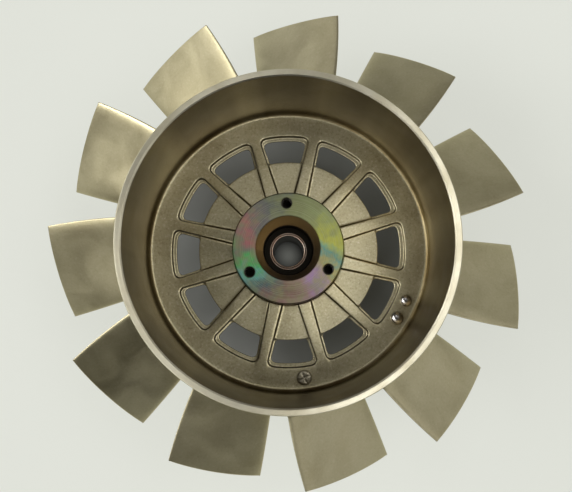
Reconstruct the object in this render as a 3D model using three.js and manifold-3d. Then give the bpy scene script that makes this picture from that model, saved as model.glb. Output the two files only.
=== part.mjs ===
// Axial cooling-fan rotor for an air-cooled engine, in millimetres, +Z along the shaft.
// The rotor stands on the rear end of its steel hub, at z = 0 with the origin on the axis,
// and the open end of the drum faces up. All angles are degrees, anticlockwise from +X.
//
// The light-alloy casting is divided into simple solids with a joint line between them: drum
// shell, web ring, spokes, hub plate, boss and blades. The hub and rivets are separate pieces.
import * as THREE from 'three';
import { ParametricGeometry } from 'three/addons/geometries/ParametricGeometry.js';
import { mergeVertices } from 'three/addons/utils/BufferGeometryUtils.js';
import Module from 'manifold-3d';

const wasm = await Module();
wasm.setup();

// ---- Driving dimensions ----

const jointGap = 0.3;             // space left between neighbouring solids

const overallHeight = 138;        // rear end of the hub to the drum's open rim
const rimRadius = 115;            // outside of the drum at the rim
const wallThickness = 5;
const wallDraft = 1;              // the drum narrows by this angle from rim to floor
const rimChamfer = 1;             // on the inner corner of the rim
const drumDepth = 84;             // rim to the web's front face
const floorFillet = 4;            // between the drum's wall and its floor
const drumHeelRadius = 5;         // outer corner at the rear of the drum

const webThickness = 6;
const webRingWidth = 15;          // from the floor fillet in to the windows
const windowLength = 20.5;        // from the web ring in to the hub plate
const windowCornerRadius = 4;
const plateSkin = 8;              // plate metal next to the boss
const plateEdgeBevel = 4;         // on the plate's outer edge, behind
const bossLip = 2;                // wall around the flange's seat
const bossLength = 12;            // boss behind the rear face of the web

const spokeCount = 12;
const firstSpokeAngle = 15;
const spokeWidthInner = 9.8;      // at the flange
const spokeWidthOuter = 7.6;      // at the web ring
const spokeHeight = 2.5;          // a spoke stands this far proud of the hub plate at the flange
const spokeFlangeDrop = 13;      // top of a spoke below the flange's face
const spokeStub = 5;              // length of the root that the web ring carries

const flangeRadius = 42;
const flangeDepth = 66;           // rim to the flange's front face
const flangeThickness = 16;
const flangeChamfer = 0.8;
const barrelRadius = 30;
const pocketRadius = 24;          // upper step of the nut pocket
const pocketDepth = 19;
const nutRadius = 19.5;           // lower step, where the shaft nut sits
const nutStepDepth = 9;
const boreRadius = 12;
const boreChamferRadius = 14.5;
const boreChamferDepth = 3;
const barrelChamfer = 1.5;

const pullerHoleCount = 3;
const firstPullerHoleAngle = 90;
const pullerHoleCircleRadius = 34;
const pullerHoleRadius = 4;

const bladeCount = 11;
const firstBladeAngle = 10.15;    // front edge of the first blade at its tip
const bladeLength = 55;           // from the rim's radius to the blade's tip
const tipWrap = 21.7;             // angle from front edge to rear edge at the tip
const rootFrontLead = 4.2;        // the root starts this much before the tip does
const rootRearTrail = 1.2;        // and ends this much after it
const frontEdgeDepthRoot = 17;    // rim plane to the blade's front edge
const frontEdgeDepthTip = 33;
const rearEdgeDepthRoot = 50;     // rim plane to the blade's rear edge
const rearEdgeDepthTip = 79;
const bladeThicknessRoot = 4.2;
const bladeThicknessTip = 2.6;
const bladeCamberRoot = 3;        // hollow of the front face
const bladeCamberTip = 1.6;
const bladeEdgePower = 5;         // higher keeps the full thickness closer to the edges

const rivetInset = 6.5;           // from the floor fillet to a rivet's centre
const rivetShankRadius = 2.6;
const rivetClearance = 0.3;
const rivetTailRadius = 4.2;
const rivetTailHeight = 1.6;
const rivetHeadEdge = 0.6;        // straight edge under the dome
const balanceRivets = [
  { name: 'balance_rivet_front_a', angle: 334.6, headRadius: 4.6, headHeight: 3.6, bright: true },
  { name: 'balance_rivet_front_b', angle: 325.8, headRadius: 5.1, headHeight: 4.0, bright: true },
  { name: 'peened_balance_plug', angle: 275.1, headRadius: 5.6, headHeight: 2.2, bright: false },
];

// ---- Levels and radii that follow from them ----

const rimLevel = overallHeight;
const webFront = rimLevel - drumDepth;
const webBack = webFront - webThickness;
const bossBack = webBack - bossLength;
const flangeFront = rimLevel - flangeDepth;
const flangeBack = flangeFront - flangeThickness;
const seatLevel = flangeBack - jointGap;
const pocketStep = flangeFront - pocketDepth;
const nutSeat = pocketStep - nutStepDepth;
const flangeHousing = flangeRadius + jointGap;
const barrelHousing = barrelRadius + jointGap;
const bossRadius = flangeHousing + bossLip;
const tipRadius = rimRadius + bladeLength;

const draftSlope = Math.tan(THREE.MathUtils.degToRad(wallDraft));
const drumOuterRadiusAt = (z) => rimRadius - (rimLevel - z) * draftSlope;
const drumInnerRadiusAt = (z) => drumOuterRadiusAt(z) - wallThickness;
const floorRadius = drumInnerRadiusAt(webFront) - floorFillet;
const rivetCircleRadius = floorRadius - rivetInset;
const windowOuterRadius = floorRadius - webRingWidth;
const plateRadius = windowOuterRadius - windowLength;
const spokeOuterRadius = windowOuterRadius - spokeStub;

const castingSegments = 96;       // facets around the large turned shapes
const hubSegments = 72;
const rivetSegments = 20;
const holeSegments = 20;
const arcSteps = 4;               // facets on a small corner radius
const weldDistance = 1e-3;        // corners closer than this are one corner

const alloy = { color: 0x9c9274, roughness: 0.5, metalness: 0.75 };
const zincSteel = { color: 0x8f9468, roughness: 0.3, metalness: 0.9 };
const brightSteel = { color: 0xc9c8c2, roughness: 0.22, metalness: 0.95 };

// ---- Geometry helpers ----

const radians = THREE.MathUtils.degToRad;
const lerp = THREE.MathUtils.lerp;

// Level of the spokes' front edge, which falls from the flange to the web ring.
const spokeTopAt = (radius) =>
  lerp(flangeFront - spokeFlangeDrop, webFront,
    (radius - flangeHousing) / (spokeOuterRadius - flangeHousing));
// The plate falls more gently, from the spokes' feet at the flange to the level of the web.
const plateTopAt = (radius) =>
  lerp(spokeTopAt(flangeHousing) - spokeHeight, webFront,
    (radius - flangeHousing) / (plateRadius - flangeHousing));

const onCircle = (radius, angle) =>
  new THREE.Vector2(radius * Math.cos(radians(angle)), radius * Math.sin(radians(angle)));

// A position-only geometry with shared corners and no flattened triangles.
function closed(geometry) {
  const bare = new THREE.BufferGeometry();
  bare.setAttribute('position', geometry.getAttribute('position').clone());
  if (geometry.index) bare.setIndex(geometry.index.clone());
  const merged = mergeVertices(bare, weldDistance);
  const kept = [];
  for (let i = 0; i < merged.index.count; i += 3) {
    const [a, b, c] = [0, 1, 2].map((k) => merged.index.getX(i + k));
    if (a !== b && b !== c && c !== a) kept.push(a, b, c);
  }
  merged.setIndex(kept);
  return merged;
}

function toManifold(geometry) {
  const shape = closed(geometry);
  return new wasm.Manifold(new wasm.Mesh({
    numProp: 3,
    vertProperties: new Float32Array(shape.getAttribute('position').array),
    triVerts: new Uint32Array(shape.index.array),
  }));
}

function fromManifold(solid) {
  const mesh = solid.getMesh();
  const geometry = new THREE.BufferGeometry();
  geometry.setAttribute('position', new THREE.BufferAttribute(mesh.vertProperties, 3));
  geometry.setIndex(new THREE.BufferAttribute(mesh.triVerts, 1));
  return geometry;
}

// Turns a profile of [radius, z] points about the Z axis.
function revolve(profile, segments) {
  const points = profile.map(([radius, z]) => new THREE.Vector2(radius, z));
  return closed(new THREE.LatheGeometry(points, segments).rotateX(Math.PI / 2));
}

// Points on an arc in the [radius, z] plane, both ends included.
function profileArc(centreRadius, centreZ, radius, fromAngle, toAngle) {
  const points = [];
  for (let step = 0; step <= arcSteps; step += 1) {
    const angle = radians(lerp(fromAngle, toAngle, step / arcSteps));
    points.push([centreRadius + radius * Math.cos(angle), centreZ + radius * Math.sin(angle)]);
  }
  return points;
}

function addMesh(parent, name, geometry, finish) {
  const faceted = closed(geometry).toNonIndexed();
  faceted.computeVertexNormals();
  const mesh = new THREE.Mesh(faceted, new THREE.MeshStandardMaterial(finish));
  mesh.name = name;
  parent.add(mesh);
  return mesh;
}

const twoDigits = (number) => String(number).padStart(2, '0');

// ---- The casting ----

// Drum wall with its rim and the fillet that runs into the floor.
function drumShell() {
  const heelZ = webBack + drumHeelRadius;
  const heelCentre = drumOuterRadiusAt(heelZ) - drumHeelRadius;
  const innerRim = drumInnerRadiusAt(rimLevel);
  const profile = [
    [floorRadius, webBack],
    ...profileArc(heelCentre, heelZ, drumHeelRadius, -90, 0),
    [rimRadius, rimLevel],
    [innerRim + rimChamfer, rimLevel],
    [drumInnerRadiusAt(rimLevel - rimChamfer), rimLevel - rimChamfer],
    ...profileArc(floorRadius, webFront + floorFillet, floorFillet, 0, -90),
    [floorRadius, webBack],
  ];
  return revolve(profile, castingSegments);
}

// Where a window's outer corner arc touches the spoke's side and the window's outer edge.
function windowCorner(halfWidth) {
  const centreRadius = windowOuterRadius - windowCornerRadius;
  const offset = halfWidth + windowCornerRadius;
  const along = Math.sqrt(centreRadius ** 2 - offset ** 2);
  return { along, offset, edgeAngle: THREE.MathUtils.radToDeg(Math.atan2(offset, along)) };
}

// Flat ring outside the windows, with the root of each spoke and the rivet holes.
function webRing() {
  const ring = new THREE.Shape();
  ring.absarc(0, 0, floorRadius - jointGap, 0, 2 * Math.PI, false);

  const halfWidth = spokeWidthOuter / 2;
  const corner = windowCorner(halfWidth);
  const inside = new THREE.Path();
  for (let i = 0; i < spokeCount; i += 1) {
    const spokeAngle = firstSpokeAngle + (i * 360) / spokeCount;
    const place = (along, across) =>
      new THREE.Vector2(along, across).rotateAround(new THREE.Vector2(), radians(spokeAngle));
    const before = place(corner.along, -corner.offset);
    const after = place(corner.along, corner.offset);
    const nextEdge = spokeAngle + 360 / spokeCount - corner.edgeAngle;
    const turn = radians(spokeAngle);
    const lean = radians(corner.edgeAngle);
    inside.absarc(before.x, before.y, windowCornerRadius, turn - lean, turn + Math.PI / 2, false);
    inside.lineTo(...place(spokeOuterRadius, -halfWidth).toArray());
    inside.lineTo(...place(spokeOuterRadius, halfWidth).toArray());
    inside.absarc(after.x, after.y, windowCornerRadius, turn - Math.PI / 2, turn + lean, false);
    inside.absarc(0, 0, windowOuterRadius, turn + lean, radians(nextEdge), false);
  }
  ring.holes.push(inside);

  for (const { angle } of balanceRivets) {
    const centre = onCircle(rivetCircleRadius, angle);
    const hole = new THREE.Path();
    hole.absarc(centre.x, centre.y, rivetShankRadius + rivetClearance, 0, 2 * Math.PI, true);
    ring.holes.push(hole);
  }
  const options = { depth: webThickness, bevelEnabled: false, curveSegments: arcSteps * 3 };
  return new THREE.ExtrudeGeometry(ring, options).translate(0, 0, webBack);
}

// Boss around the hub's barrel, with the seat that the flange lies in.
function hubBoss() {
  return revolve([
    [barrelHousing, bossBack],
    [bossRadius, bossBack],
    [bossRadius, plateTopAt(bossRadius)],
    [flangeHousing, plateTopAt(flangeHousing)],
    [flangeHousing, seatLevel],
    [barrelHousing, seatLevel],
    [barrelHousing, bossBack],
  ], hubSegments);
}

// Dished plate from the boss out to the windows.
function hubPlate() {
  const inner = bossRadius + jointGap;
  return revolve([
    [inner, plateTopAt(inner) - plateSkin],
    [plateRadius - plateEdgeBevel, webBack],
    [plateRadius, webBack],
    [plateRadius, plateTopAt(plateRadius)],
    [inner, plateTopAt(inner)],
    [inner, plateTopAt(inner) - plateSkin],
  ], hubSegments);
}

// Rib that rises from the web ring to the flange. It lies on the plate and spans the window.
function spoke() {
  const plateEnd = plateRadius + jointGap;
  const ringEnd = spokeOuterRadius - jointGap;
  const side = new THREE.Shape([
    new THREE.Vector2(flangeHousing, spokeTopAt(flangeHousing)),
    new THREE.Vector2(flangeHousing, plateTopAt(flangeHousing) + jointGap),
    new THREE.Vector2(plateEnd, plateTopAt(plateEnd) + jointGap),
    new THREE.Vector2(plateEnd, webBack),
    new THREE.Vector2(ringEnd, webBack),
    new THREE.Vector2(ringEnd, spokeTopAt(ringEnd)),
  ]);
  const geometry = new THREE.ExtrudeGeometry(side, { depth: 1, bevelEnabled: false });
  geometry.translate(0, 0, -0.5).rotateX(Math.PI / 2);
  const position = geometry.getAttribute('position');
  for (let i = 0; i < position.count; i += 1) {
    const outward = (position.getX(i) - flangeHousing) / (spokeOuterRadius - flangeHousing);
    position.setY(i, position.getY(i) * lerp(spokeWidthInner, spokeWidthOuter, outward));
  }
  return geometry;
}

// ---- Blades ----

const chordSteps = 9;
const spanSteps = 6;

// A point on a blade's skin. chord runs 0..1 from front edge to rear edge, span 0..1 from
// root to tip, and side is +1 on the front face, -1 on the rear face and 0 on the mean line.
function bladePoint(chord, span, side, target) {
  const startAngle = lerp(-rootFrontLead, 0, span);
  const endAngle = tipWrap + lerp(rootRearTrail, 0, span);
  const frontDepth = lerp(frontEdgeDepthRoot, frontEdgeDepthTip, span);
  const rearDepth = lerp(rearEdgeDepthRoot, rearEdgeDepthTip, span);
  const meanZ = rimLevel - lerp(frontDepth, rearDepth, chord);
  const rootRadius = drumOuterRadiusAt(meanZ) + jointGap;
  const radius = lerp(rootRadius, tipRadius, span);

  const chordAcross = radius * radians(endAngle - startAngle);
  const chordDown = rearDepth - frontDepth;
  const chordLength = Math.hypot(chordAcross, chordDown);
  const hollow = 4 * chord * (1 - chord) * lerp(bladeCamberRoot, bladeCamberTip, span);
  const fullness = Math.sqrt(1 - Math.abs(2 * chord - 1) ** bladeEdgePower);
  const halfThickness = 0.5 * fullness * lerp(bladeThicknessRoot, bladeThicknessTip, span);
  const lift = side * halfThickness - hollow;

  const across = (lift * chordDown) / chordLength;
  const angle = radians(firstBladeAngle + lerp(startAngle, endAngle, chord)) + across / radius;
  const z = meanZ + (lift * chordAcross) / chordLength;
  target.set(radius * Math.cos(angle), radius * Math.sin(angle), z);
}

// Twisted blade. The surface runs around the section and out along the span, and the first
// and last rows close the ends on the mean line.
function blade() {
  const rows = spanSteps + 2;
  const surface = (around, outward, target) => {
    const row = Math.round(outward * rows);
    const isEnd = row === 0 || row === rows;
    const span = THREE.MathUtils.clamp((row - 1) / spanSteps, 0, 1);
    const onFront = around > 0.5;
    const travel = onFront ? 2 - 2 * around : 2 * around;
    const chord = (1 - Math.cos(Math.PI * travel)) / 2;
    bladePoint(chord, span, isEnd ? 0 : onFront ? 1 : -1, target);
  };
  return closed(new ParametricGeometry(surface, 2 * chordSteps, rows));
}

// ---- Steel hub and balance weights ----

// Turned hub: flange, barrel, stepped nut pocket, shaft bore and threaded puller holes.
function steelHub() {
  const turned = revolve([
    [boreRadius, 0],
    [barrelRadius - barrelChamfer, 0],
    [barrelRadius, barrelChamfer],
    [barrelRadius, flangeBack],
    [flangeRadius, flangeBack],
    [flangeRadius, flangeFront - flangeChamfer],
    [flangeRadius - flangeChamfer, flangeFront],
    [pocketRadius, flangeFront],
    [pocketRadius, pocketStep],
    [nutRadius, pocketStep],
    [nutRadius, nutSeat],
    [boreChamferRadius, nutSeat],
    [boreRadius, nutSeat - boreChamferDepth],
    [boreRadius, 0],
  ], hubSegments);
  let hub = toManifold(turned);
  const drillLength = flangeThickness + 2 * flangeChamfer;
  for (let i = 0; i < pullerHoleCount; i += 1) {
    const angle = firstPullerHoleAngle + (i * 360) / pullerHoleCount;
    const centre = onCircle(pullerHoleCircleRadius, angle);
    const drill = new THREE.CylinderGeometry(
      pullerHoleRadius, pullerHoleRadius, drillLength, holeSegments,
    ).rotateX(Math.PI / 2);
    drill.translate(centre.x, centre.y, flangeFront - flangeThickness / 2);
    hub = hub.subtract(toManifold(drill));
  }
  return fromManifold(hub);
}

// Solid rivet through the web: domed head in front, flat upset tail behind.
function balanceRivet({ headRadius, headHeight }) {
  const seat = webFront + jointGap;
  const tailFront = webBack - jointGap;
  const dome = [];
  for (let step = 0; step <= arcSteps; step += 1) {
    const angle = radians((90 * step) / arcSteps);
    const rise = (headHeight - rivetHeadEdge) * Math.sin(angle);
    dome.push([headRadius * Math.cos(angle), seat + rivetHeadEdge + rise]);
  }
  dome[arcSteps][0] = 0;
  return revolve([
    [0, tailFront - rivetTailHeight],
    [rivetTailRadius, tailFront - rivetTailHeight],
    [rivetTailRadius, tailFront],
    [rivetShankRadius, tailFront],
    [rivetShankRadius, seat],
    [headRadius, seat],
    ...dome,
  ], rivetSegments);
}

// ---- Assembly ----

const rotor = new THREE.Group();
rotor.name = 'cooling_fan_rotor';

addMesh(rotor, 'drum_shell', drumShell(), alloy);
addMesh(rotor, 'web_ring', webRing(), alloy);
addMesh(rotor, 'hub_plate', hubPlate(), alloy);
addMesh(rotor, 'hub_boss', hubBoss(), alloy);

for (let i = 0; i < spokeCount; i += 1) {
  const mesh = addMesh(rotor, `spoke_${twoDigits(i + 1)}`, spoke(), alloy);
  mesh.rotation.z = radians(firstSpokeAngle + (i * 360) / spokeCount);
}

for (let i = 0; i < bladeCount; i += 1) {
  const mesh = addMesh(rotor, `blade_${twoDigits(i + 1)}`, blade(), alloy);
  mesh.rotation.z = radians((i * 360) / bladeCount);
}

addMesh(rotor, 'steel_hub', steelHub(), zincSteel);

for (const rivet of balanceRivets) {
  const finish = rivet.bright ? brightSteel : alloy;
  const mesh = addMesh(rotor, rivet.name, balanceRivet(rivet), finish);
  const centre = onCircle(rivetCircleRadius, rivet.angle);
  mesh.position.set(centre.x, centre.y, 0);
}

export default rotor;
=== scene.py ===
"""Looks of an axial cooling-fan rotor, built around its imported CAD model.

The CAD splits one light-alloy casting into simple solids. Here the drum, web, spokes, plate and
boss become one continuous casting, and each blade gets its root fillet. The steel hub gets its
threads and the rivets their domes. Lengths are millimetres, and MM turns them into the frame's
metres. Every material is placed by the rotor's own coordinates.
"""
import math

import bmesh
import bpy
import numpy as np
from mathutils import Matrix, Vector


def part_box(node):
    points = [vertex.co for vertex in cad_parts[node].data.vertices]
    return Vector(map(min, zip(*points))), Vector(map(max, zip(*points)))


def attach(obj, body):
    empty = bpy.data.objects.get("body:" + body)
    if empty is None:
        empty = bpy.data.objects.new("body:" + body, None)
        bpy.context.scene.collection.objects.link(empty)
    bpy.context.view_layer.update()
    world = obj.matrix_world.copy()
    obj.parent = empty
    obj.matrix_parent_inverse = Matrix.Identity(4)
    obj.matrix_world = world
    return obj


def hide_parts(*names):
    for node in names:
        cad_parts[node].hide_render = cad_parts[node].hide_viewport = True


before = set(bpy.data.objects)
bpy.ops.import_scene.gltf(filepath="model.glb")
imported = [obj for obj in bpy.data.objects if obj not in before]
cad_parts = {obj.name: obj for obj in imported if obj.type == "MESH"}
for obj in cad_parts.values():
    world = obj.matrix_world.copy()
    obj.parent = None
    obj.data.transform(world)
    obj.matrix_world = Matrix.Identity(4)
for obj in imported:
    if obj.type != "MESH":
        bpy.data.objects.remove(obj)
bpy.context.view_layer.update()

MM = 0.001                       # one millimetre in metres


# ---------------------------------------------------------------- sizes from the frame

def node_box(name):
    """Lowest and highest corner of a CAD node in millimetres."""
    low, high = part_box(name)
    return np.array(low) / MM, np.array(high) / MM


_, drum_high = node_box("drum_shell")
ring_low, ring_high = node_box("web_ring")
_, plate_high = node_box("hub_plate")
boss_low, boss_high = node_box("hub_boss")
_, hub_high = node_box("steel_hub")

JOINT_GAP = 0.3                  # between the CAD's pieces of the casting

RIM_Z = drum_high[2]
RIM_RADIUS = drum_high[0]
RIM_CHAMFER = 1.0
RIM_FALL = 0.42                  # the turned rim slopes this far down to its outer edge
RIM_EDGE = 0.5
WALL = 5.0
WALL_DRAFT = math.tan(math.radians(1.0))
FLOOR_FILLET = 4.0
HEEL_RADIUS = 5.0

WEB_FRONT = ring_high[2]
WEB_BACK = ring_low[2]
FLOOR_RADIUS = ring_high[0] + JOINT_GAP
WEB_RING_WIDTH = 15.0
WINDOW_RADIUS = FLOOR_RADIUS - WEB_RING_WIDTH
PLATE_RADIUS = plate_high[0]
PLATE_SKIN = 8.0
PLATE_BEVEL = 4.0
BOSS_RADIUS = boss_high[0]
BOSS_BACK = boss_low[2]

FLANGE_RADIUS = hub_high[0]
FLANGE_FRONT = hub_high[2]
FLANGE_THICKNESS = 16.0
FLANGE_BACK = FLANGE_FRONT - FLANGE_THICKNESS
SEAT = FLANGE_BACK - JOINT_GAP   # level of the casting under the flange
BARREL_RADIUS = 30.0

SPOKES = 12
FIRST_SPOKE = math.radians(15.0)
SPOKE_START = FLANGE_RADIUS + JOINT_GAP
SPOKE_STUB = 5.0                 # outer end of each spoke, which the CAD counts to its ring
SPOKE_END = WINDOW_RADIUS - SPOKE_STUB
SPOKE_HALF_WIDTHS = (4.9, 3.8)   # at its start and end
SPOKE_HEIGHT = 2.5
SPOKE_DROP = 13.0                # below the flange's face, where the spoke starts
SPOKE_LEAN = math.tan(math.radians(4.0))
WITNESS_STEP = 0.05              # faint mark across a spoke, over the plate's edge

LEDGE_Z = WEB_BACK + 2.6         # ledge inside each window, round a smaller opening
WINDOW_DRAFT = 0.12
WINDOW_OUTSET = 0.5              # the window's edge, past WINDOW_RADIUS
WINDOW_CORNER = 4.8
OPENING_INSET = 2.9
OPENING_SIDE_INSET = 1.6
OPENING_CORNER = 4.0

BLADES = 11
FIRST_BLADE = math.radians(10.15)
BLADE_LENGTH = 55.0
BLADE_TIP = RIM_RADIUS + BLADE_LENGTH - 0.06
BLADE_FILLET = 3.6

PULLER_ANGLES = [math.radians(90 + 120 * i) for i in range(3)]
PULLER_CIRCLE = 34.0
PULLER_HOLES = [(PULLER_CIRCLE * math.cos(a), PULLER_CIRCLE * math.sin(a)) for a in PULLER_ANGLES]
THREAD_RADIUS = 4.0
THREAD_ROOT = 3.45
THREAD_PITCH = 1.25
POCKET_RADIUS = 24.0
POCKET_STEP = FLANGE_FRONT - 19.0
NUT_SEAT = POCKET_STEP - 9.0
COLLAR_RADIUS = 13.8
BORE_RADIUS = 12.0

RIVET_TAIL = 4.2
RIVET_SHANK = 2.6
CROSS_DEPTH = 0.55
FLOOR_GLOW = 0.55                # emission strength of the floor


def wall_outer(z):
    return RIM_RADIUS - (RIM_Z - z) * WALL_DRAFT


def wall_inner(z):
    return wall_outer(z) - WALL


# ---------------------------------------------------------------- mesh helpers

def new_object(name, vertices, faces):
    """A mesh object from vertices in millimetres."""
    mesh = bpy.data.meshes.new(name)
    mesh.from_pydata((np.asarray(vertices) * MM).tolist(), [], [list(map(int, f)) for f in faces])
    mesh.validate()
    piece = bpy.data.objects.new(name, mesh)
    bpy.context.scene.collection.objects.link(piece)
    fix_normals(mesh)
    mesh.shade_smooth()
    return piece


def fix_normals(mesh):
    """Turns every face outward: first all one way, then the way that gives a positive volume."""
    work = bmesh.new()
    work.from_mesh(mesh)
    bmesh.ops.recalc_face_normals(work, faces=work.faces)
    if work.calc_volume(signed=True) < 0:
        bmesh.ops.reverse_faces(work, faces=work.faces)
    work.to_mesh(mesh)
    work.free()


def ring(radius, angle, z):
    """Points round the axis; radius and level may each be one number or one per angle."""
    upright = np.broadcast_to(z, angle.shape)
    return np.stack([radius * np.cos(angle), radius * np.sin(angle), upright], 1)


def tube_faces(rows, around, closed=False):
    """Quads between rings of vertices; closed joins the last ring to the first as well."""
    faces = []
    for row in range(rows if closed else rows - 1):
        here = row * around + np.arange(around)
        there = ((row + 1) % rows) * around + np.arange(around)
        faces += np.stack([here, np.roll(here, -1), np.roll(there, -1), there], 1).tolist()
    return faces


def smooth_max(a, b, k):
    blend = np.maximum(k - np.abs(a - b), 0.0) / k
    return np.maximum(a, b) + blend * blend * k * 0.25


def smooth_min(a, b, k):
    return -smooth_max(-a, -b, k)


def round_max(a, b, radius):
    """Intersection of two half-spaces with a true round corner."""
    inner = np.minimum(np.maximum(a, b), -radius)
    corner = np.hypot(np.maximum(a + radius, 0.0), np.maximum(b + radius, 0.0))
    return np.where(corner > 0, corner - radius, inner)


def arc(centre_r, centre_z, radius, start, end, steps):
    """Profile points on an arc, angles in degrees, both ends included."""
    return [
        (centre_r + radius * math.cos(math.radians(a)), centre_z + radius * math.sin(math.radians(a)))
        for a in np.linspace(start, end, steps + 1)
    ]


def hold_corners(profile, reach=0.12):
    """Adds a point close to each side of every corner, so smooth shading keeps it crisp."""
    points = [np.array(p, float) for p in profile]
    held = [points[0]]
    for before, here, after in zip(points, points[1:], points[2:]):
        back, ahead = before - here, after - here
        long_back, long_ahead = np.linalg.norm(back), np.linalg.norm(ahead)
        bend = np.dot(back, ahead) / (long_back * long_ahead)
        if bend > -0.93 and long_back > 3 * reach:
            held.append(here + back / long_back * reach)
        held.append(here)
        if bend > -0.93 and long_ahead > 3 * reach:
            held.append(here + ahead / long_ahead * reach)
    held.append(points[-1])
    return [tuple(p) for p in held]


# ---------------------------------------------------------------- the casting's core

def graded(*stretches):
    """Grid lines from (start, end, step) stretches that follow on from each other."""
    lines = []
    for start, end, step in stretches:
        count = max(1, round((end - start) / step))
        lines.extend(np.linspace(start, end, count, endpoint=False))
    lines.append(stretches[-1][1])
    return np.array(lines)


def spoke_share(along):
    return (along - SPOKE_START) / (SPOKE_END - SPOKE_START)


def half_width(along):
    return np.interp(spoke_share(along), (0.0, 1.0), SPOKE_HALF_WIDTHS)


def spoke_top(along):
    start = FLANGE_FRONT - SPOKE_DROP
    return start + (WEB_FRONT - start) * spoke_share(along)


def plate_top(radius):
    """The plate falls from the spokes' feet at the flange to the level of the web."""
    start = spoke_top(SPOKE_START) - SPOKE_HEIGHT
    share = (radius - SPOKE_START) / (PLATE_RADIUS - SPOKE_START)
    return start + (WEB_FRONT - start) * share


def web_distance(radius, across_angle, z):
    """Signed distance, roughly, to the web: negative inside the metal.

    across_angle is measured from the nearest spoke's centre line. The last number of each
    smooth_max and smooth_min is how wide, in millimetres, that edge or fillet is blended.
    """
    along = radius * np.cos(across_angle)
    across = np.abs(radius * np.sin(across_angle))
    top = spoke_top(along) + WITNESS_STEP * np.tanh((PLATE_RADIUS - along) / 0.5)
    flank = across - (half_width(along) + (top - z) * SPOKE_LEAN)

    rib = smooth_max(flank, z - top, 1.0)
    plate = smooth_max(plate_top(radius), WEB_FRONT, 1.5)
    metal_top = smooth_min(rib, z - plate, 1.8)

    skin_start = plate_top(BOSS_RADIUS) - PLATE_SKIN
    skin_slope = (skin_start - WEB_BACK) / (PLATE_RADIUS - PLATE_BEVEL - BOSS_RADIUS)
    underside = smooth_max(WEB_BACK, skin_start - (radius - BOSS_RADIUS) * skin_slope, 2.0)
    boss = smooth_max(radius - BOSS_RADIUS, BOSS_BACK - z, 1.2)
    metal = smooth_max(metal_top, smooth_min(underside - z, boss, 3.0), 1.0)

    inner_edge = PLATE_RADIUS - radius
    outer_edge = radius - (WINDOW_RADIUS + WINDOW_OUTSET) + (WEB_FRONT - z) * WINDOW_DRAFT
    front = smooth_max(round_max(outer_edge, -flank, WINDOW_CORNER), inner_edge, 1.6)
    opening_edge = radius - WINDOW_RADIUS + OPENING_INSET
    opening_corner = round_max(opening_edge, -flank + OPENING_SIDE_INSET, OPENING_CORNER)
    opening = smooth_max(opening_corner, inner_edge, 3.0)
    window = np.minimum(smooth_max(front, LEDGE_Z - z, 0.5), opening)
    metal = smooth_max(metal, -window, 0.8)

    housing = np.minimum(
        radius - (BARREL_RADIUS + JOINT_GAP),
        np.maximum(radius - SPOKE_START, SEAT - z),
    )
    return np.maximum(metal, -housing)


def web_grid():
    """Node radii, levels, and each node's angle from its spoke, with lines along the flanks."""
    # Radii and levels as (start, end, step): fine at edges and fillets, coarse on plain surfaces.
    join = FLOOR_RADIUS - 3.5
    radii = graded(
        (29.4, 31.2, 0.6), (31.2, 41.2, 2.5), (41.2, 46.0, 0.6), (46.0, 66.5, 2.2),
        (66.5, 71.5, 0.55), (71.5, 83.0, 1.6), (83.0, 91.5, 0.5), (91.5, join, 2.4),
    )
    levels = graded(
        (BOSS_BACK - 0.8, BOSS_BACK + 1.6, 0.6), (BOSS_BACK + 1.6, WEB_BACK - 1.0, 1.35),
        (WEB_BACK - 1.0, WEB_FRONT + 2.0, 0.43),
        (WEB_FRONT + 2.0, spoke_top(SPOKE_START) + 1.6, 0.8),
    )
    # Shares of the spoke's half width, then shares of the way on to the middle of the window.
    on_spoke = [0.0, 0.45, 0.76, 0.91, 1.02]
    beyond = [0.025, 0.06, 0.105, 0.165, 0.25, 0.37, 0.53, 0.75]
    half_sector = math.pi / SPOKES
    reach = np.array([half_width(r) for r in radii])
    edge = np.arcsin(reach * on_spoke[-1] / radii)
    columns = [np.arcsin(reach * t / radii) for t in on_spoke]
    columns += [edge + (half_sector - edge) * t for t in beyond]
    right = np.array(columns).T
    middle = np.full((len(radii), 1), half_sector)
    sector = np.hstack([-middle, -right[:, :0:-1], right])
    return radii, levels, sector


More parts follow.
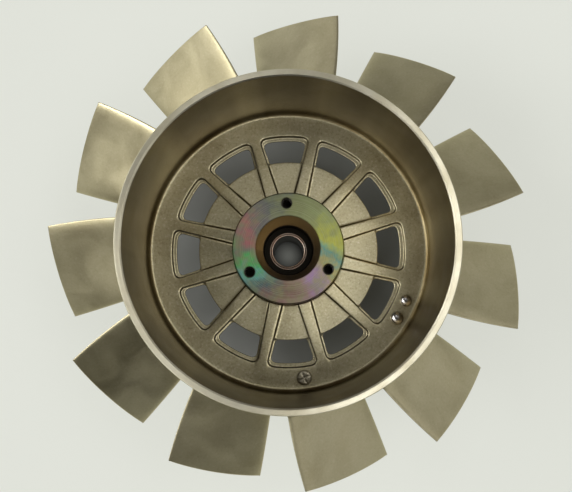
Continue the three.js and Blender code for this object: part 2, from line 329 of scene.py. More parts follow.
def surface_net(values, points):
    """Vertices and quads of the zero surface on a grid that closes on itself along axis 1.

    Each cell that the surface passes through gets one vertex, at the mean of the points where
    the surface crosses the cell's edges. Each crossed edge gets one quad, from its four cells.
    """
    nr, nt, nz = values.shape
    inside = values < 0
    total = np.zeros((nr - 1, nt, nz - 1, 3))
    count = np.zeros((nr - 1, nt, nz - 1))
    wrap_v = np.concatenate([values, values[:, :1]], 1)
    wrap_p = np.concatenate([points, points[:, :1]], 1)

    def add(crossing, hit, cells):
        total[cells] += np.where(hit[..., None], crossing, 0.0)
        count[cells] += hit

    def cross(v0, v1, p0, p1):
        hit = (v0 < 0) != (v1 < 0)
        share = np.where(hit, v0 / np.where(v0 == v1, 1.0, v0 - v1), 0.0)
        return p0 + share[..., None] * (p1 - p0), hit

    # Crossings of the radial edges, then of those round the axis, then of the upright ones.
    spot, hit = cross(wrap_v[:-1], wrap_v[1:], wrap_p[:-1], wrap_p[1:])
    for dt in (0, 1):
        for dz in (0, 1):
            part = np.s_[:, dt:dt + nt, dz:dz + nz - 1]
            add(spot[part], hit[part], np.s_[:, :, :])
    spot, hit = cross(wrap_v[:, :-1], wrap_v[:, 1:], wrap_p[:, :-1], wrap_p[:, 1:])
    for dr in (0, 1):
        for dz in (0, 1):
            part = np.s_[dr:dr + nr - 1, :, dz:dz + nz - 1]
            add(spot[part], hit[part], np.s_[:, :, :])
    spot, hit = cross(wrap_v[..., :-1], wrap_v[..., 1:], wrap_p[..., :-1, :], wrap_p[..., 1:, :])
    for dr in (0, 1):
        for dt in (0, 1):
            part = np.s_[dr:dr + nr - 1, dt:dt + nt, :]
            add(spot[part], hit[part], np.s_[:, :, :])

    live = count > 0
    number = np.full(live.shape, -1)
    number[live] = np.arange(live.sum())
    vertices = total[live] / count[live][:, None]

    # Quads in the same order of edges, leaving out those at the border of the grid.
    faces = []
    i, j, k = np.nonzero(inside[:-1] != inside[1:])
    keep = (k > 0) & (k < nz - 1)
    i, j, k = i[keep], j[keep], k[keep]
    faces.append(np.stack([
        number[i, j - 1, k - 1], number[i, j, k - 1], number[i, j, k], number[i, j - 1, k]], 1))
    after = np.roll(inside, -1, 1)
    i, j, k = np.nonzero(inside != after)
    keep = (i > 0) & (i < nr - 1) & (k > 0) & (k < nz - 1)
    i, j, k = i[keep], j[keep], k[keep]
    faces.append(np.stack([
        number[i - 1, j, k - 1], number[i, j, k - 1], number[i, j, k], number[i - 1, j, k]], 1))
    i, j, k = np.nonzero(inside[..., :-1] != inside[..., 1:])
    keep = (i > 0) & (i < nr - 1)
    i, j, k = i[keep], j[keep], k[keep]
    faces.append(np.stack([
        number[i - 1, j - 1, k], number[i, j - 1, k], number[i, j, k], number[i - 1, j, k]], 1))
    faces = np.concatenate(faces)
    return vertices, faces[(faces >= 0).all(1)], number


def blade_root_angle(z):
    """Middle of the blade's thickness where it meets the wall at this level."""
    start, end = blade_angles(0.0)
    front, rear = blade_depths(0.0)
    share = (RIM_Z - z - front) / (rear - front)
    return FIRST_BLADE + start + (end - start) * share, share


def drum_profile(join_radius):
    """Wall, rim and heel, from the web's front face round to its rear face."""
    heel_z = WEB_BACK + HEEL_RADIUS
    heel_r = wall_outer(heel_z) - HEEL_RADIUS
    return hold_corners([
        (join_radius, WEB_FRONT),
        *arc(wall_inner(WEB_FRONT) - FLOOR_FILLET, WEB_FRONT + FLOOR_FILLET, FLOOR_FILLET,
             -90, 0, 9),
        *[(wall_inner(z), z) for z in np.linspace(WEB_FRONT + 6, RIM_Z - RIM_CHAMFER - 0.5, 14)],
        (wall_inner(RIM_Z - RIM_CHAMFER), RIM_Z - RIM_CHAMFER),
        (wall_inner(RIM_Z) + RIM_CHAMFER, RIM_Z),
        (RIM_RADIUS - RIM_EDGE, RIM_Z - RIM_FALL),
        (RIM_RADIUS, RIM_Z - RIM_FALL - RIM_EDGE),
        *[(wall_outer(z), z) for z in np.linspace(RIM_Z - 6, heel_z + 4, 9)],
        *arc(heel_r, heel_z, HEEL_RADIUS, 0, -90, 7),
        (join_radius, WEB_BACK),
    ])


def casting_core():
    """The web as a sampled surface, with the drum's profile turned onto its outer border."""
    radii, levels, sector = web_grid()
    columns = sector.shape[1]
    spoke_angle = FIRST_SPOKE + np.arange(SPOKES) * 2 * math.pi / SPOKES
    across = np.tile(sector, (1, SPOKES))
    turn = across + np.repeat(spoke_angle, columns)[None, :]
    radius = np.broadcast_to(radii[:, None, None], (*turn.shape, len(levels)))
    z = np.broadcast_to(levels, radius.shape)
    one = web_distance(
        radius[:, :columns], np.broadcast_to(sector[..., None], (*sector.shape, len(levels))),
        z[:, :columns],
    )
    values = np.tile(one, (1, SPOKES, 1))
    angle = np.broadcast_to(turn[..., None], radius.shape)
    points = np.stack([radius * np.cos(angle), radius * np.sin(angle), z], -1)
    vertices, faces, number = surface_net(values, points)

    border = number[-1]
    levels_hit = np.nonzero(border[0] >= 0)[0]
    rear_ring, front_ring = border[:, levels_hit.min()], border[:, levels_hit.max()]
    ring_points = vertices[front_ring]
    ring_radius = float(np.hypot(ring_points[:, 0], ring_points[:, 1]).mean())
    ring_angle = np.arctan2(ring_points[:, 1], ring_points[:, 0])

    profile = drum_profile(ring_radius)[1:-1]
    rings = [front_ring]
    extra = []
    start = len(vertices)
    for r, level in profile:
        turned = np.full(len(ring_angle), r)
        inner_side = r < wall_outer(level) - 2
        if inner_side and WEB_FRONT + 6 < level < RIM_Z - 3:
            turned += wall_ripple(ring_angle, level)
        extra.append(ring(turned, ring_angle, level))
        rings.append(start + np.arange(len(ring_angle)))
        start += len(ring_angle)
    rings.append(rear_ring)
    quads = []
    for inner, outer in zip(rings, rings[1:]):
        quads.append(np.stack([inner, np.roll(inner, -1), np.roll(outer, -1), outer], 1))
    return np.concatenate([vertices, *extra]), np.concatenate([faces, *quads])


def wall_ripple(angle, level):
    """Shallow sink marks inside the wall, where each blade's root is outside it."""
    centre, share = blade_root_angle(level)
    pitch = 2 * math.pi / BLADES
    offset = (angle - centre + pitch / 2) % pitch - pitch / 2
    fade = max(0.0, min(1.0, 4 * min(share + 0.25, 1.25 - share)))
    return 0.22 * fade * np.exp(-((offset / math.radians(3.2)) ** 2))


# ---------------------------------------------------------------- blades

def blade_angles(span):
    """Front and rear edge of a blade, as angles from its own zero; span is 0 at the root."""
    return math.radians(-4.2 * (1 - span)), math.radians(21.7 + 1.2 * (1 - span))


def blade_depths(span):
    """Front and rear edge of a blade, as depths below the rim."""
    return 17.0 + 16.0 * span, 50.0 + 29.0 * span


def blade_radius(level, span):
    root = wall_outer(level)
    return root + (BLADE_TIP - root) * span


def blade_section(span, chord_steps):
    """Closed outline in the unrolled plane, distance round the axis and level, and its normals."""
    start, end = blade_angles(span)
    front, rear = blade_depths(span)
    chord = (1 - np.cos(np.linspace(0, math.pi, chord_steps + 1))) / 2
    level = RIM_Z - (front + (rear - front) * chord)
    radius = blade_radius(level, span)
    run = radius * (end - start)
    length = np.hypot(run, rear - front)
    hollow = 4 * chord * (1 - chord) * (3.0 - 1.4 * span)
    thickness = 0.5 * np.sqrt(1 - np.abs(2 * chord - 1) ** 5) * (4.2 - 1.6 * span)
    round_axis = radius * (FIRST_BLADE + start + (end - start) * chord)
    outline = []
    for side in (1, -1):
        lift = side * thickness - hollow
        outline.append(np.stack([
            round_axis + lift * (rear - front) / length, level + lift * run / length], 1))
    loop = np.concatenate([outline[0], outline[1][-2:0:-1]])
    ahead, behind = np.roll(loop, -1, 0), np.roll(loop, 1, 0)
    tangent = ahead - behind
    normal = np.stack([tangent[:, 1], -tangent[:, 0]], 1)
    normal /= np.linalg.norm(normal, axis=1)[:, None]
    area = np.sum(loop[:, 0] * ahead[:, 1] - ahead[:, 0] * loop[:, 1])
    return loop, normal * np.sign(area)


def blade_stations():
    """Distance from the wall and how far the outline is spread there, from root to tip."""
    stations = []
    for distance in (-0.15, 0.0, 0.08, 0.25, 0.55, 1.0, 1.6, 2.5, BLADE_FILLET):
        gap = max(distance, 0.0)
        spread = BLADE_FILLET - math.sqrt(BLADE_FILLET ** 2 - (BLADE_FILLET - gap) ** 2)
        stations.append((distance, spread))
    stations += [(distance, 0.0) for distance in np.linspace(BLADE_FILLET, 54.0, 17)[1:]]
    # The last few draw the outline in, to round the edge of the tip.
    return stations + [(54.55, -0.02), (54.8, -0.16), (54.93, -0.36), (BLADE_LENGTH, -0.62)]


def blade_mesh(index):
    """One blade as rings from inside the wall to the tip, closed at both ends."""
    chord_steps = 34
    rows = []
    for distance, spread in blade_stations():
        span = max(0.0, distance / BLADE_LENGTH)
        loop, normal = blade_section(span, chord_steps)
        loop = loop + normal * spread
        root = wall_outer(loop[:, 1])
        radius = root + (BLADE_TIP - root) * distance / BLADE_LENGTH
        angle = loop[:, 0] / blade_radius(loop[:, 1], span) + index * 2 * math.pi / BLADES
        rows.append(ring(radius, angle, loop[:, 1]))
    around = len(rows[0])
    faces = tube_faces(len(rows), around)
    for first in (0, (len(rows) - 1) * around):
        faces.append([first, first + 1, first + around - 1])
        for i in range(1, chord_steps - 1):
            faces.append([first + i, first + i + 1, first + around - i - 1, first + around - i])
        faces.append([first + chord_steps - 1, first + chord_steps, first + chord_steps + 1])
    return np.concatenate(rows), faces


# ---------------------------------------------------------------- steel hub and rivets

def lathe(profile, segments, closed=True):
    """Turns a profile of (radius, level) points round the axis."""
    angle = np.arange(segments) * 2 * math.pi / segments
    vertices = np.concatenate([ring(r, angle, z) for r, z in profile])
    return vertices, tube_faces(len(profile), segments, closed)


def steel_hub_profile():
    """Closed outline: bore, rear end, barrel, flange, pocket, collar and back to the bore."""
    corners = [
        (BORE_RADIUS, 6.0), (BORE_RADIUS, 0.6), (BORE_RADIUS + 0.6, 0.0),
        (BARREL_RADIUS - 1.5, 0.0), (BARREL_RADIUS, 1.5),
        (BARREL_RADIUS, FLANGE_BACK - 0.4), (BARREL_RADIUS + 0.4, FLANGE_BACK),
        (FLANGE_RADIUS - 0.5, FLANGE_BACK), (FLANGE_RADIUS, FLANGE_BACK + 0.5),
        (FLANGE_RADIUS, FLANGE_FRONT - 0.9), (FLANGE_RADIUS - 0.9, FLANGE_FRONT),
        (POCKET_RADIUS + 0.7, FLANGE_FRONT), (POCKET_RADIUS, FLANGE_FRONT - 0.7),
        (23.2, FLANGE_FRONT - 5.0), (21.6, FLANGE_FRONT - 11.0), (20.0, FLANGE_FRONT - 16.0),
        (19.4, POCKET_STEP), (19.0, NUT_SEAT + 0.6), (18.6, NUT_SEAT),
        (COLLAR_RADIUS, NUT_SEAT), (13.5, NUT_SEAT + 0.7), (12.9, NUT_SEAT + 1.1),
        (12.4, NUT_SEAT + 0.9), (BORE_RADIUS, NUT_SEAT + 0.2),
    ]
    return hold_corners(corners + corners[:2])[:-2]


def thread_cutter(x, y):
    """Screw thread with a countersink, as a closed solid that the hub is cut by."""
    around = 40
    angle = np.arange(around) * 2 * math.pi / around
    rows = []
    for z in np.arange(SEAT - 1.0, FLANGE_FRONT - 0.5, THREAD_PITCH / 8):
        phase = (z / THREAD_PITCH - angle / (2 * math.pi)) % 1.0
        ridge = np.clip(2.2 * np.abs(2 * phase - 1) - 0.6, 0, 1)
        rows.append(ring(THREAD_ROOT + (THREAD_RADIUS - THREAD_ROOT) * ridge, angle, z))
    for wider, above in ((0.05, -0.45), (0.5, 0.001), (0.5, 1.0)):
        rows.append(ring(THREAD_RADIUS + wider, angle, FLANGE_FRONT + above))
    vertices = np.concatenate(rows) + np.array([x, y, 0.0])
    faces = tube_faces(len(rows), around)
    faces.append(list(range(around)))
    faces.append(list(range((len(rows) - 1) * around, len(rows) * around)))
    return vertices, faces


def cut(piece, cutter):
    """Takes the cutter's volume out of the piece and removes the cutter."""
    tool = piece.modifiers.new("cut", "BOOLEAN")
    tool.operation, tool.solver, tool.object = "DIFFERENCE", "MANIFOLD", cutter
    graph = bpy.context.evaluated_depsgraph_get()
    result = bpy.data.meshes.new_from_object(piece.evaluated_get(graph))
    piece.modifiers.clear()
    old, piece.data = piece.data, result
    bpy.data.meshes.remove(old)
    bpy.data.objects.remove(cutter)


def steel_hub():
    """The turned hub with its three threaded puller holes, which get the second material."""
    piece = new_object("steel_hub_turned", *lathe(steel_hub_profile(), 144))
    for x, y in PULLER_HOLES:
        cut(piece, new_object("cutter", *thread_cutter(x, y)))
    piece.data.materials.clear()
    for face in piece.data.polygons:
        middle = face.center / MM
        reach = min(math.hypot(middle.x - x, middle.y - y) for x, y in PULLER_HOLES)
        in_flange = SEAT - 1.2 < middle.z < FLANGE_FRONT - 0.3
        face.material_index = int(in_flange and reach < THREAD_RADIUS + 0.3)
    piece.data.shade_smooth()
    piece.data.set_sharp_from_angle(angle=math.radians(28))
    return piece


def domed_head(radius, seat, height):
    return [(radius * 0.93, seat), (radius, seat + 0.5)] + [
        (radius * math.cos(a), seat + 0.6 + (height - 0.6) * math.sin(a))
        for a in np.linspace(0.08, 1.45, 12)]


def flat_head(radius, seat, height):
    edge = [(radius, seat), (radius, seat + 0.8), *arc(radius - 1.0, seat + 0.9, 1.0, 0, 80, 4)]
    return edge + [
        (radius * share, seat + height - 0.2 * share) for share in np.linspace(0.72, 0.08, 9)]


def punch_cross(vertices, radius, level):
    """Presses a cross into the face of a flat head, into what lies above this level."""
    reach = np.hypot(vertices[:, 0], vertices[:, 1])
    turn = np.arctan2(vertices[:, 1], vertices[:, 0]) - math.radians(25)
    off_cross = np.abs(np.sin(2 * turn)) * reach
    dent = CROSS_DEPTH * np.exp(-((off_cross / 1.1) ** 2)) * (reach < 0.75 * radius)
    vertices[:, 2] -= np.where(vertices[:, 2] > level, dent, 0.0)


def rivet(name, node, head_height, flat):
    """Rivet through the web, with a domed or a flat punched head and a rounded tail."""
    low, high = node_box(node)
    centre = (low + high) / 2
    radius = (high[0] - low[0]) / 2
    seat, tail = WEB_FRONT - 0.02, WEB_BACK + 0.02
    head = (flat_head if flat else domed_head)(radius, seat, head_height)
    rear = [
        (RIVET_TAIL * math.cos(a), tail - 1.9 * math.sin(a)) for a in np.linspace(1.45, 0.0, 8)]
    shank = [(RIVET_TAIL, tail), (RIVET_SHANK, tail + 0.5), (RIVET_SHANK, seat - 0.5)]
    profile = rear + shank + head
    around = 40
    vertices, faces = lathe(profile, around, closed=False)
    top_z = profile[-1][1]
    if flat:
        punch_cross(vertices, radius, seat + 1.0)
        top_z -= CROSS_DEPTH
    bottom = len(vertices)
    top = bottom + 1
    last_ring = bottom - around
    vertices = np.concatenate([vertices, [[0, 0, rear[0][1]], [0, 0, top_z]]])
    for i in range(around):
        following = (i + 1) % around
        faces.append([bottom, following, i])
        faces.append([top, last_ring + i, last_ring + following])
    return new_object(name, vertices + np.array([centre[0], centre[1], 0.0]), faces)


# ---------------------------------------------------------------- material helpers

class Nodes:
    """Short names for building a node tree."""

    def __init__(self, name):
        self.material = bpy.data.materials.new(name)
        self.material.use_nodes = True
        self.tree = self.material.node_tree
        self.shader = self.tree.nodes["Principled BSDF"]
        self.place = self.add("ShaderNodeTexCoord").outputs["Object"]

    def add(self, kind, **settings):
        node = self.tree.nodes.new(kind)
        for key, value in settings.items():
            setattr(node, key, value)
        return node

    def link(self, source, target):
        self.tree.links.new(source, target)

    def put(self, socket, value):
        if isinstance(value, bpy.types.NodeSocket):
            self.link(value, socket)
        else:
            socket.default_value = value

    def math(self, operation, a, b=0.0):
        node = self.add("ShaderNodeMath", operation=operation)
        self.put(node.inputs[0], a)
        self.put(node.inputs[1], b)
        return node.outputs[0]

    def noise(self, scale, detail, rough, distortion=0.0, along=None):
        """Noise over the rotor's coordinates, or along one value only."""
        node = self.add("ShaderNodeTexNoise", noise_dimensions="3D" if along is None else "1D")
        node.inputs["Scale"].default_value = scale
        node.inputs["Detail"].default_value = detail
        node.inputs["Roughness"].default_value = rough
        node.inputs["Distortion"].default_value = distortion
        if along is None:
            self.link(self.place, node.inputs["Vector"])
        else:
            self.link(along, node.inputs["W"])
        return node.outputs["Fac"]

    def ramp(self, factor, stops):
        node = self.add("ShaderNodeValToRGB")
        ramp = node.color_ramp
        while len(ramp.elements) < len(stops):
            ramp.elements.new(0.5)
        for element, (position, colour) in zip(ramp.elements, stops):
            element.position = position
            element.color = (*colour, 1.0)
        self.link(factor, node.inputs["Fac"])
        return node.outputs["Color"]

    def grey(self, factor, low, high, start=0.0, end=1.0):
        """Goes from low to high while the factor goes from start to end."""
        node = self.add("ShaderNodeMapRange", clamp=True)
        self.put(node.inputs["Value"], factor)
        node.inputs["From Min"].default_value = start
        node.inputs["From Max"].default_value = end
        node.inputs["To Min"].default_value = low
        node.inputs["To Max"].default_value = high
        return node.outputs["Result"]

    def fade(self, distance, start, end, low=0.0, high=1.0):
        """The same for a radius or level in metres, with start and end in millimetres."""
        return self.grey(distance, low, high, start * MM, end * MM)

    def mix(self, factor, a, b, blend="MIX"):
        node = self.add("ShaderNodeMix", data_type="RGBA", blend_type=blend)
        self.put(node.inputs["Factor"], factor)
        for socket, value in ((node.inputs[6], a), (node.inputs[7], b)):
            self.put(socket, (*value, 1.0) if isinstance(value, tuple) else value)
        return node.outputs[2]

    def bump(self, height, strength, distance, before=None):
        node = self.add("ShaderNodeBump")
        node.inputs["Strength"].default_value = strength
        node.inputs["Distance"].default_value = distance
        self.link(height, node.inputs["Height"])
        if before is not None:
            self.link(before, node.inputs["Normal"])
        return node.outputs["Normal"]

    def polar(self):
        """Distance from the rotor's axis, angle as a share of a turn, and level, in metres."""
        split = self.add("ShaderNodeSeparateXYZ")
        self.link(self.place, split.inputs[0])
        x, y, z = split.outputs
        square = self.math("ADD", self.math("MULTIPLY", x, x), self.math("MULTIPLY", y, y))
        turn = self.math("ADD", self.math("DIVIDE", self.math("ARCTAN2", y, x), 2 * math.pi), 0.5)
        return self.math("SQRT", square), turn, z

    def flatness(self):
        """1 where the surface faces straight up or down, 0 where it is upright."""
        normal = self.add("ShaderNodeSeparateXYZ")
        self.link(self.add("ShaderNodeTexCoord").outputs["Normal"], normal.inputs[0])
        return self.math("ABSOLUTE", normal.outputs[2])

    def finish(self, colour, metallic, roughness, normal):
        """Gives the four results to the shader and returns the material."""
        self.put(self.shader.inputs["Base Color"], colour)
        self.put(self.shader.inputs["Metallic"], metallic)
        self.put(self.shader.inputs["Roughness"], roughness)
        self.put(self.shader.inputs["Normal"], normal)
        return self.material


def cast_alloy(name, speckle):
    """Die casting with an olive-gold conversion coat: fine grain, soft mottling, and painted shade in
    corners, on steep flanks and on the drum's inner wall.
    """
    n = Nodes(name)
    grain = n.noise(1500, 2, 0.6)
    pores = n.noise(620, 3, 0.62)
    mottle = n.noise(38, 4, 0.55, 0.6)
    cloud = n.noise(9, 2, 0.5)
    colour = n.ramp(mottle, [(0.3, (0.41, 0.360, 0.215)), (0.7, (0.50, 0.45, 0.285))])
    colour = n.mix(n.grey(cloud, 0.0, 0.35, 0.45, 0.75), colour, (0.52, 0.48, 0.335))
    colour = n.mix(n.grey(pores, 0.45 * speckle, 0.0, 0.30, 0.46), colour, (0.17, 0.13, 0.07))
    colour = n.mix(n.grey(pores, 0.0, 0.5 * speckle, 0.56, 0.72), colour, (0.74, 0.68, 0.52))
    # Painted shade on the drum's inner wall: darker and browner there, broken by tall smudges.
    painted_wall_shade = n.mix(mottle, (0.11, 0.08, 0.035), (0.16, 0.12, 0.055))
    colour = n.mix(inside_wall(n), colour, painted_wall_shade)
    # Painted shade on the steep flanks of the ribs and window edges.
    colour = n.mix(web_flanks(n), colour, (0.075, 0.060, 0.032))
    # Painted shade: darker where ambient occlusion finds surfaces close by, in corners and creases.
    hidden = n.add("ShaderNodeAmbientOcclusion", samples=4)
    hidden.inputs["Distance"].default_value = 5.0 * MM
    corners = n.grey(hidden.outputs["AO"], 0.85, 0.0, 0.25, 0.75)
    colour = n.mix(corners, colour, (0.09, 0.065, 0.03))
    pitted = n.bump(pores, 0.28 * speckle, 0.4 * MM)
    grained = n.bump(grain, 0.2, 0.15 * MM, pitted)
    return n.finish(colour, 0.95, n.grey(mottle, 0.32, 0.41, 0.3, 0.7), grained)


def inside_wall(n):
    """Where the drum's rough inner wall gets painted shade: 1 there, 0 elsewhere, with a ragged
    border and tall smudges.
    """
    radius, turn, _ = n.polar()
    upright = n.grey(n.flatness(), 1.0, 0.0, 0.90, 0.998)
    beyond = n.fade(radius, FLOOR_RADIUS - 0.5, FLOOR_RADIUS + 1.5)
    within = n.fade(radius, RIM_RADIUS - 4.0, RIM_RADIUS - 3.5, 1.0, 0.0)
    smudge = n.grey(n.noise(16, 3, 0.5, along=turn), 0.75, 1.0, 0.3, 0.6)
    on_wall = n.math("MULTIPLY", beyond, within)
    return n.math("MULTIPLY", n.math("MULTIPLY", upright, smudge), on_wall)


def web_flanks(n):
    """Near 1 on the steep flanks of ribs and window edges, which get painted shade, 0 elsewhere."""
    radius, _, _ = n.polar()
    steep = n.grey(n.flatness(), 0.9, 0.0, 0.55, 0.88)
    inside = n.fade(radius, WINDOW_RADIUS + 1.0, WINDOW_RADIUS + 1.5, 1.0, 0.0)
    return n.math("MULTIPLY", steep, inside)


def seat_in_painted_shade():
    """The machined seat under the flange, near black: painted shade for the gap under the flange."""
    n = Nodes("seat_in_painted_shade")
    film = n.noise(300, 3, 0.6)
    colour = n.mix(film, (0.02, 0.018, 0.012), (0.05, 0.042, 0.025))
    return n.finish(colour, 0.7, n.grey(film, 0.35, 0.5), n.bump(film, 0.2, 0.2 * MM))


def turned_rim():
    """The rim's end face, bare from the lathe, with rings left by the tool."""
    n = Nodes("turned_rim")
    radius, _, _ = n.polar()
    rings = n.noise(2600, 2, 0.6, along=radius)
    stain = n.noise(60, 3, 0.5)
    colour = n.mix(n.grey(stain, 0.0, 0.8, 0.4, 0.7), (0.62, 0.58, 0.44), (0.50, 0.45, 0.31))
    return n.finish(colour, 0.95, n.grey(stain, 0.26, 0.38), n.bump(rings, 0.35, 0.1 * MM))


def zinc_steel():
    """Turned steel with a passivated zinc coat: an olive film with patches of other colours."""
    n = Nodes("zinc_steel")
    radius, turn, level = n.polar()
    drift = n.noise(70, 3, 0.6)
    ripple = n.noise(1500, 2, 0.7, along=radius)
    wander = n.math("MULTIPLY", n.math("SUBTRACT", drift, 0.5), 0.22)
    flange_middle = (FLANGE_RADIUS + POCKET_RADIUS) / 2 * MM
    lean = n.math("MULTIPLY", n.math("SUBTRACT", radius, flange_middle), 3.0)
    place = n.math("FRACT", n.math("ADD", n.math("ADD", n.math("ADD", turn, wander), lean), 1.0))
    # One turn of film colours, starting opposite +X and going round through -Y.
    film = n.ramp(place, [
        (0.00, (0.13, 0.14, 0.11)),
        (0.05, (0.05, 0.30, 0.08)),
        (0.09, (0.10, 0.26, 0.22)),
        (0.15, (0.04, 0.08, 0.10)),
        (0.22, (0.15, 0.09, 0.07)),
        (0.29, (0.22, 0.13, 0.13)),
        (0.36, (0.24, 0.15, 0.26)),
        (0.42, (0.32, 0.27, 0.10)),
        (0.46, (0.05, 0.22, 0.22)),
        (0.53, (0.34, 0.34, 0.05)),
        (0.61, (0.20, 0.23, 0.10)),
        (0.72, (0.14, 0.15, 0.07)),
        (0.80, (0.09, 0.10, 0.09)),
        (0.88, (0.13, 0.11, 0.11)),
        (0.94, (0.30, 0.10, 0.11)),
        (0.985, (0.15, 0.14, 0.11)),
    ])
    olive = n.grey(n.noise(95, 3, 0.6), 0.0, 0.55, 0.42, 0.62)
    film = n.mix(olive, film, (0.17, 0.18, 0.08))
    film = n.mix(n.grey(ripple, 0.0, 0.3, 0.45, 0.7), film, (0.34, 0.34, 0.24))
    film_gain = 1.5
    film = n.mix(1.0, film, (film_gain, film_gain, film_gain), "MULTIPLY")
    barrel = n.mix(drift, (0.26, 0.27, 0.17), (0.36, 0.36, 0.25))
    film = n.mix(n.fade(level, SEAT + 0.5, SEAT + 2.0, 1.0, 0.0), film, barrel)
    # Painted light and shade: the pocket is painted gold-brown on the side away from the light, where
    # its wall faces the light, and black elsewhere as painted shade.
    painted_lit_side = n.ramp(turn, [
        (0.00, (0.75, 0.75, 0.75)),
        (0.12, (0.30, 0.30, 0.30)),
        (0.25, (0.06, 0.06, 0.06)),
        (0.50, (0.10, 0.10, 0.10)),
        (0.66, (0.35, 0.35, 0.35)),
        (0.80, (0.80, 0.80, 0.80)),
        (0.92, (1.00, 1.00, 1.00)),
    ])
    brown = n.mix(painted_lit_side, (0.018, 0.012, 0.006), (0.58, 0.37, 0.13))
    above_step = n.fade(level, POCKET_STEP - 0.5, POCKET_STEP + 1.5)
    # Below the step the pocket is painted black, as shade.
    pocket = n.mix(above_step, (0.012, 0.010, 0.007), brown)
    in_front = n.fade(level, NUT_SEAT - 3.0, NUT_SEAT - 2.0)
    in_pocket = n.fade(radius, POCKET_RADIUS, POCKET_RADIUS + 0.4, 1.0, 0.0)
    film = n.mix(n.math("MULTIPLY", in_pocket, in_front), film, pocket)
    collar = n.mix(n.grey(drift, 0.0, 1.0, 0.4, 0.6), (0.50, 0.42, 0.34), (0.42, 0.28, 0.20))
    on_collar = n.fade(radius, COLLAR_RADIUS + 0.4, COLLAR_RADIUS + 0.7, 1.0, 0.0)
    film = n.mix(n.math("MULTIPLY", on_collar, in_front), film, collar)
    in_bore = n.fade(radius, BORE_RADIUS, BORE_RADIUS + 0.2, 1.0, 0.0)
    film = n.mix(in_bore, film, (0.16, 0.15, 0.13))
    # The gold-brown part of the pocket is less of a mirror than the rest.
    outside = n.fade(radius, POCKET_RADIUS - 0.2, POCKET_RADIUS + 0.1, 0.45, 0.95)
    recess = n.fade(level, POCKET_STEP - 0.5, POCKET_STEP + 1.5, 0.95, 0.45)
    metallic = n.math("MAXIMUM", outside, recess)
    return n.finish(film, metallic, n.grey(drift, 0.34, 0.48), n.bump(ripple, 0.35, 0.1 * MM))


def thread_in_painted_shade():
    """Screw threads, near black: painted shade inside the puller holes."""
    n = Nodes("thread_in_painted_shade")
    film = n.noise(400, 3, 0.6)
    colour = n.mix(film, (0.012, 0.011, 0.009), (0.05, 0.045, 0.03))
    return n.finish(colour, 0.6, n.grey(film, 0.3, 0.5), n.bump(film, 0.2, 0.2 * MM))


def rivet_steel(name, colour, roughness, dent):
    """Bare steel with dull spots; dent is how strong its small dents are."""
    n = Nodes(name)
    spots = n.noise(700, 3, 0.6)
    darker = tuple(channel * 0.55 for channel in colour)
    spotted = n.mix(n.grey(spots, 0.0, 0.6, 0.4, 0.7), colour, darker)
    rough = n.grey(spots, roughness, roughness + 0.15)
    return n.finish(spotted, 1.0, rough, n.bump(spots, dent, 0.4 * MM))


def pale_floor():
    """Pale matt sheet that glows, with a painted shadow where the glow stops under the rotor, and a
    faint painted glow under the bore.
    """
    n = Nodes("pale_floor")
    radius, _, _ = n.polar()
    cloud = n.grey(n.noise(3, 2, 0.5), 0.0, 1.0, 0.4, 0.6)
    n.link(n.mix(cloud, (0.20, 0.205, 0.195), (0.195, 0.20, 0.19)), n.shader.inputs["Base Color"])
    # Painted shadow: the floor's glow fades out under the rotor.
    clear = n.fade(radius, RIM_RADIUS - 11.0, RIM_RADIUS + 7.0)
    # Painted light: a faint glow on the floor under the bore.
    painted_bore_glow = n.fade(radius, 2.0, BORE_RADIUS + 1.0, 0.16, 0.0)
    glow = n.math("MAXIMUM", clear, painted_bore_glow)
    n.link(n.mix(glow, (0.0, 0.0, 0.0), (1.0, 1.02, 0.92)), n.shader.inputs["Emission Color"])
    n.shader.inputs["Emission Strength"].default_value = FLOOR_GLOW
    n.shader.inputs["Roughness"].default_value = 0.9
    n.shader.inputs["Specular IOR Level"].default_value = 0.1
    return n.material


# ---------------------------------------------------------------- build the pieces

def settle(piece, slot, *nodes):
    """Puts a finished piece under the root body and hides the CAD nodes it stands for; slot is not
    used.
    """
    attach(piece, "root")
    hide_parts(*nodes)


alloy = cast_alloy("cast_alloy_web", 1.0)
blade_alloy = cast_alloy("cast_alloy_blade", 0.3)
core = new_object("rotor_casting", *casting_core())
core.data.materials.append(alloy)
core.data.materials.append(turned_rim())
core.data.materials.append(seat_in_painted_shade())
for face in core.data.polygons:
    middle = face.center / MM
    if middle.z > RIM_Z - RIM_FALL - 0.3 and face.normal.z > 0.6:
        face.material_index = 1  # turned_rim
    elif math.hypot(middle.x, middle.y) < SPOKE_START - 0.6 and middle.z > SEAT - 1.0:
        face.material_index = 2  # seat_in_painted_shade
spoke_nodes = [f"spoke_{i:02d}" for i in range(1, SPOKES + 1)]
settle(core, "cast_alloy", "drum_shell", "web_ring", "hub_plate", "hub_boss", *spoke_nodes)

for i in range(BLADES):
    blade = new_object(f"fan_blade_{i + 1:02d}", *blade_mesh(i))
    blade.data.materials.append(blade_alloy)
    settle(blade, "cast_alloy", f"blade_{i + 1:02d}")

hub = steel_hub()
hub.data.materials.append(zinc_steel())
hub.data.materials.append(thread_in_painted_shade())
settle(hub, "zinc_steel", "steel_hub")

bright = rivet_steel("rivet_steel", (0.50, 0.48, 0.46), 0.16, 0.1)
dull = rivet_steel("plug_steel", (0.40, 0.36, 0.26), 0.38, 0.5)
for label, node, height, is_flat, finish, slot_name in (
    ("rivet_a", "balance_rivet_front_a", 4.2, False, bright, "rivet_steel"),
    ("rivet_b", "balance_rivet_front_b", 4.6, False, bright, "rivet_steel"),
    ("peened_plug", "peened_balance_plug", 2.4, True, dull, "plug_steel"),
):
    piece = rivet(label, node, height, is_flat)
    piece.data.materials.append(finish)
    settle(piece, slot_name, node)


# ---------------------------------------------------------------- floor, light and camera

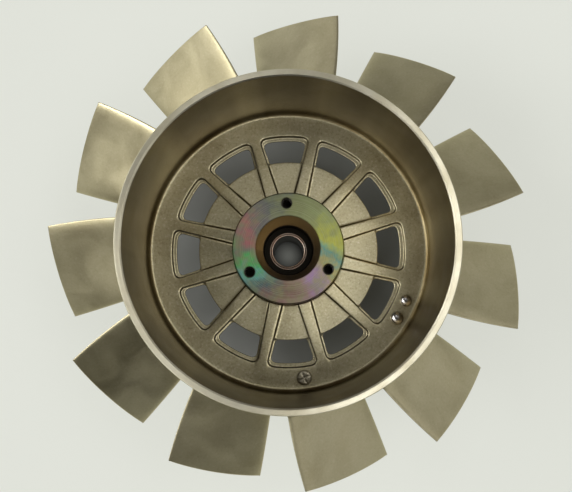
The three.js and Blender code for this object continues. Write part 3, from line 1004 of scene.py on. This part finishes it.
FLOOR_REACH = 4000.0
floor_corners = [
    (x * FLOOR_REACH, y * FLOOR_REACH, 0) for x, y in ((-1, -1), (1, -1), (1, 1), (-1, 1))]
floor = new_object("floor", floor_corners, [(0, 1, 2, 3)])
floor.data.materials.append(pale_floor())

# Name, azimuth and elevation in degrees, strength, and how wide the light's disc is in degrees.
# A separate program wrote this table. It kept the lamps, out of a larger set, whose strengths
# best fit the brightness of the picture's regions.
SOFTBOXES = (
    ("high_upper_right", 30, 70, 0.028, 20),
    ("high_upper_right_b", 60, 70, 0.007, 20),
    ("high_top", 90, 70, 0.006, 20),
    ("high_upper_left", 120, 70, 0.009, 20),
    ("high_lower_right", 300, 70, 0.068, 20),
    ("key_right", 0, 56, 0.112, 24),
    ("key_upper_right", 36, 56, 0.086, 24),
    ("key_top", 72, 56, 0.004, 24),
    ("key_top_b", 108, 56, 0.040, 24),
    ("key_lower_left", 216, 56, 0.061, 24),
    ("key_bottom", 288, 56, 0.057, 24),
    ("key_lower_right", 324, 56, 0.083, 24),
    ("side_left", 180, 38, 0.382, 30),
    ("side_lower_left", 225, 38, 0.173, 30),
    ("side_left_b", 180, 28, 0.143, 20),
    ("low_upper_left", 150, 24, 0.089, 14),
    ("low_right", 0, 16, 0.050, 24),
    ("low_upper_right", 30, 16, 0.046, 24),
    ("low_upper_right_b", 60, 16, 0.032, 24),
    ("low_top", 90, 16, 0.016, 24),
    ("low_upper_left_b", 120, 16, 0.025, 24),
    ("low_upper_left_c", 150, 16, 0.084, 24),
    ("low_lower_right", 300, 16, 0.006, 24),
    ("low_lower_right_b", 330, 16, 0.043, 24),
)


def studio():
    """Soft light from far away: each softbox is a sun lamp with a wide disc."""
    world = bpy.data.worlds.new("studio")
    bpy.context.scene.world = world
    world.use_nodes = True
    back = world.node_tree.nodes["Background"]
    back.inputs["Color"].default_value = (0.72, 0.73, 0.68, 1.0)
    # The even sky is only a backdrop: the light on the rotor comes from the lamps and the floor.
    ray = world.node_tree.nodes.new("ShaderNodeLightPath")
    world.node_tree.links.new(ray.outputs["Is Camera Ray"], back.inputs["Strength"])
    for name, azimuth, elevation, strength, width in SOFTBOXES:
        data = bpy.data.lights.new(name, "SUN")
        data.energy = strength * math.pi
        data.angle = math.radians(width)
        lamp = bpy.data.objects.new(name, data)
        a, e = math.radians(azimuth), math.radians(elevation)
        towards = Vector((math.cos(a) * math.cos(e), math.sin(a) * math.cos(e), math.sin(e)))
        lamp.rotation_euler = towards.to_track_quat("Z", "Y").to_euler()
        bpy.context.scene.collection.objects.link(lamp)


SENSOR_WIDTH = 36.0
LENS = 45.3147
RIM_FROM_CAMERA = (0.0096, -0.0438, 4.111)   # centre of the rim: right, down, ahead, in rim radii
TILT_X = math.radians(0.467)     # of the rotor's axis against the line of sight
TILT_Y = math.radians(5.643)
ROLL = math.radians(2.0)


def camera():
    """Camera over the rotor, tilted a little off its axis.

    The three axes of the rotor come first, as the camera sees them, with x right, y down and z
    ahead. They turn any direction of the camera into the rotor's frame.
    """
    axis = Vector((math.tan(TILT_X), math.tan(TILT_Y), 1.0)).normalized()
    right = Vector((1, 0, 0)) - axis * axis.x
    right.normalize()
    down = axis.cross(right)

    def to_rotor(v):
        x, y, z = v.dot(right), -v.dot(down), -v.dot(axis)
        c, s = math.cos(-ROLL), math.sin(-ROLL)
        return Vector((c * x - s * y, s * x + c * y, z))

    view = bpy.data.cameras.new("view")
    view.sensor_width = SENSOR_WIDTH
    view.lens = LENS
    view.clip_start = 0.01
    eye = bpy.data.objects.new("view", view)
    rim_centre = Vector(RIM_FROM_CAMERA) * (RIM_RADIUS * MM)
    eye.location = to_rotor(-rim_centre) + Vector((0, 0, RIM_Z * MM))
    x_axis = to_rotor(Vector((1, 0, 0)))
    y_axis = to_rotor(Vector((0, -1, 0)))
    z_axis = to_rotor(Vector((0, 0, -1)))
    eye.rotation_euler = Matrix((x_axis, y_axis, z_axis)).transposed().to_euler()
    bpy.context.scene.collection.objects.link(eye)
    bpy.context.scene.camera = eye


studio()
camera()
bpy.context.scene.view_settings.view_transform = "Standard"
